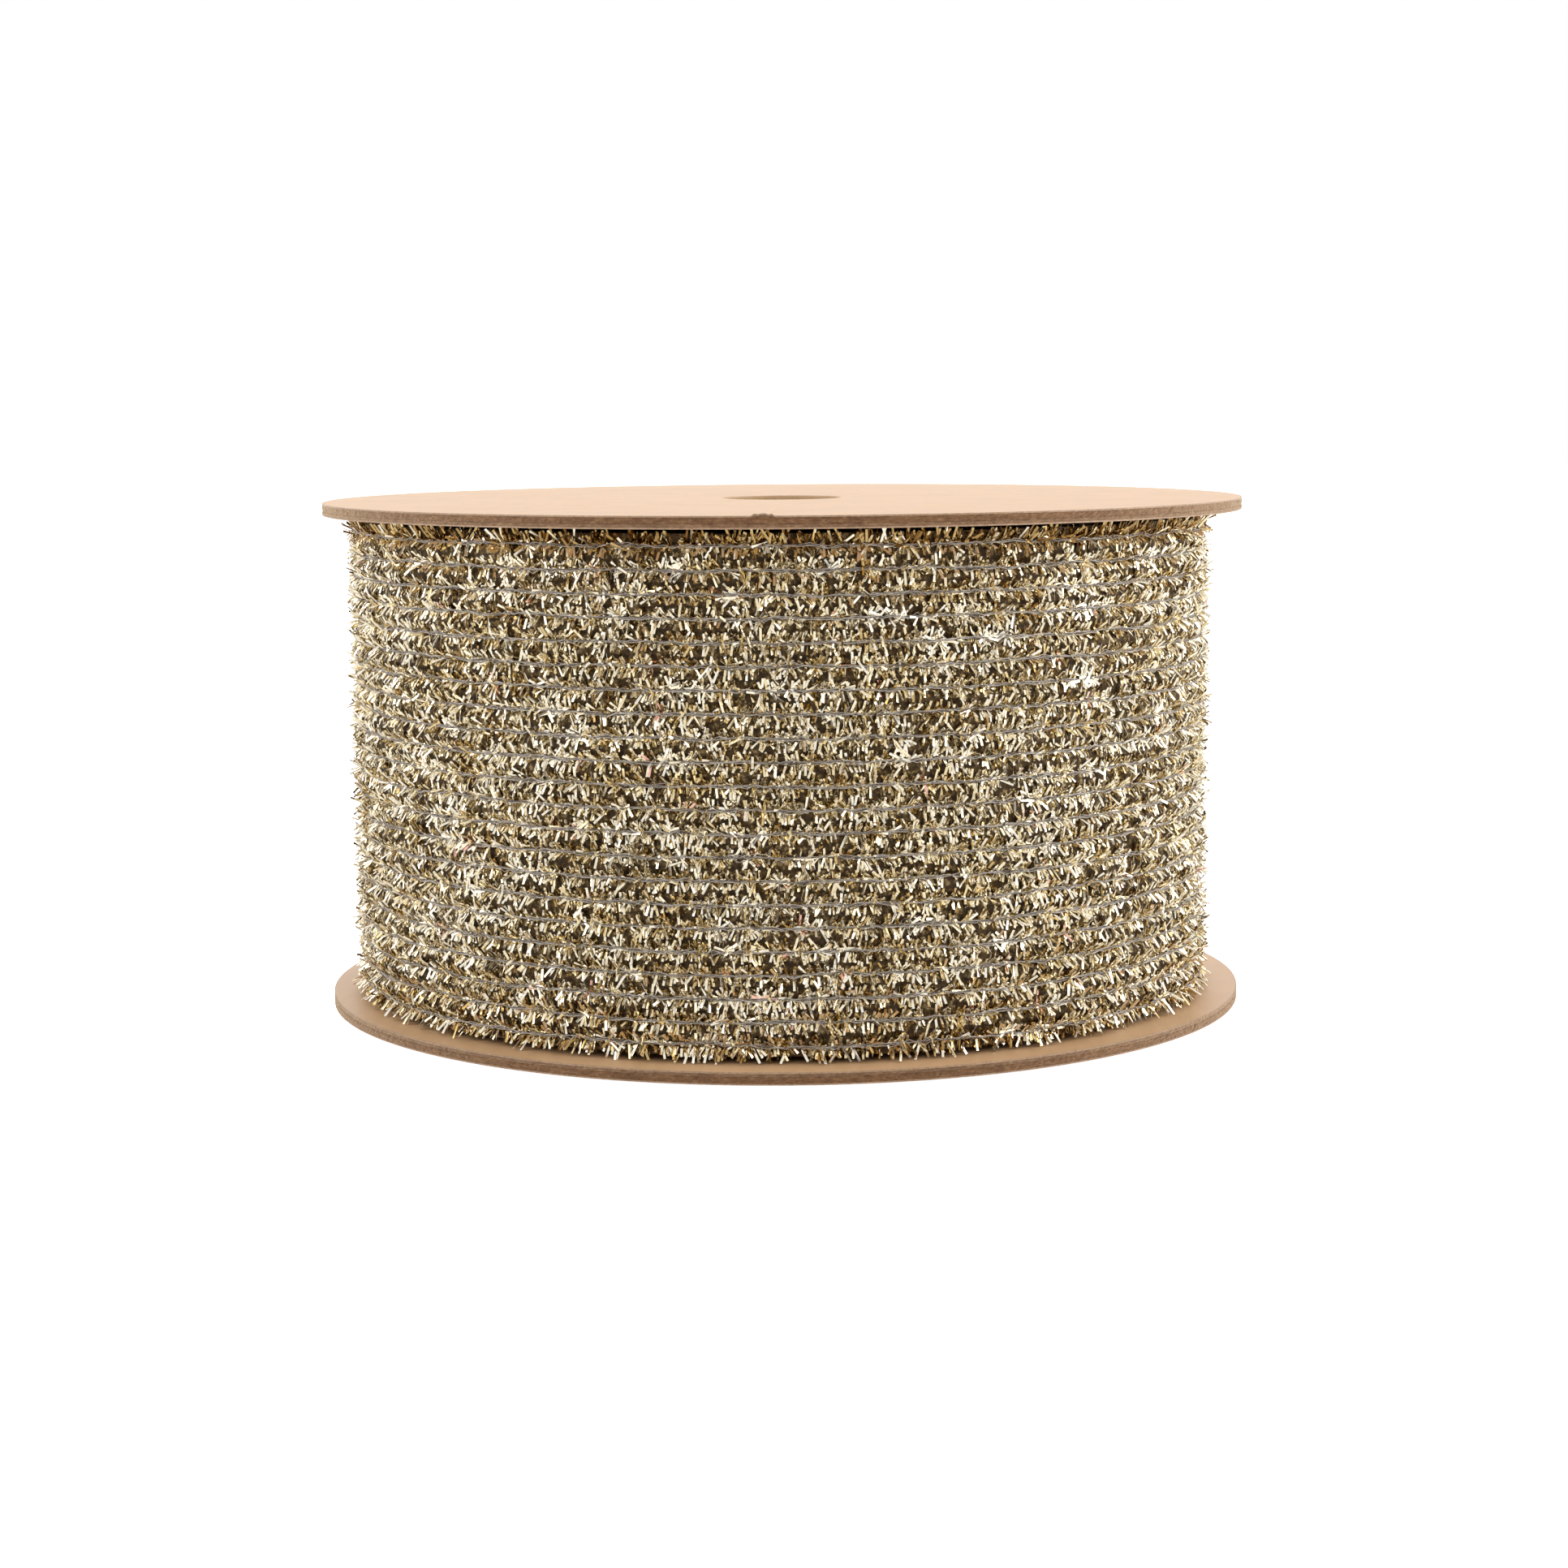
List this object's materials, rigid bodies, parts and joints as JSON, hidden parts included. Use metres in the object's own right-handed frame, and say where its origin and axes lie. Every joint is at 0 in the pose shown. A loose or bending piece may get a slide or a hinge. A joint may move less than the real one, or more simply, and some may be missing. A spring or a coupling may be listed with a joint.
{
  "type": "ribbon spool",
  "caption": "Board spool wound with wide corded tinsel ribbon, with two round flanges, a central arbor hole and a loose ribbon end that peels off the roll.",
  "frame": {"origin": "middle of the face that the spool stands on, on the spool's axis", "axes": "+Z along the spool's axis, upwards; the loose end peels off at the -X, +Y side"},
  "size_m": [0.125, 0.125, 0.0682],
  "materials": {
    "kraft_liner": "matte kraft paper",
    "chipboard": "raw grey-brown chipboard, die cut",
    "core_board": "wound paper tube",
    "core_paper": "matte kraft paper",
    "glue": "dried white glue",
    "tape": "double-sided tape",
    "ribbon_web": "fine knitted binding threads",
    "tinsel_film": "cut metallised film, champagne gold",
    "cord": "twisted grey yarn"
  },
  "bodies": {
    "spool": {"bottom_liner_outer": "kraft_liner", "bottom_ply_outer": "chipboard", "bottom_ply_inner": "chipboard", "bottom_liner_inner": "kraft_liner", "top_liner_outer": "kraft_liner", "top_ply_outer": "chipboard", "top_ply_inner": "chipboard", "top_liner_inner": "kraft_liner", "core_wrap": "core_paper", "core_body": "core_board", "core_liner": "core_paper", "bottom_glue_ring": "glue", "top_glue_ring": "glue", "start_tape": "tape", "ribbon_inner_turns": "ribbon_web", "outer_turn_web": "ribbon_web", "tinsel_row_01": "tinsel_film", "tinsel_row_02": "tinsel_film", "tinsel_row_03": "tinsel_film", "tinsel_row_04": "tinsel_film", "tinsel_row_05": "tinsel_film", "tinsel_row_06": "tinsel_film", "tinsel_row_07": "tinsel_film", "tinsel_row_08": "tinsel_film", "tinsel_row_09": "tinsel_film", "tinsel_row_10": "tinsel_film", "tinsel_row_11": "tinsel_film", "tinsel_row_12": "tinsel_film", "tinsel_row_13": "tinsel_film", "tinsel_row_14": "tinsel_film", "tinsel_row_15": "tinsel_film", "tinsel_row_16": "tinsel_film", "tinsel_row_17": "tinsel_film", "tinsel_row_18": "tinsel_film", "tinsel_row_19": "tinsel_film", "tinsel_row_20": "tinsel_film", "tinsel_row_21": "tinsel_film", "tinsel_row_22": "tinsel_film", "outer_turn_cords": "cord"},
    "loose_end": {"loose_end_web": "ribbon_web", "loose_end_rows": "tinsel_film", "loose_end_cords": "cord"}
  },
  "joints": [
    {"name": "end_peel", "type": "hinge", "parent": "spool", "child": "loose_end", "pos_m": [-0.05751, 0.01176, 0], "axis": [0, 0, 1], "range_deg": [0, 70]}
  ]
}
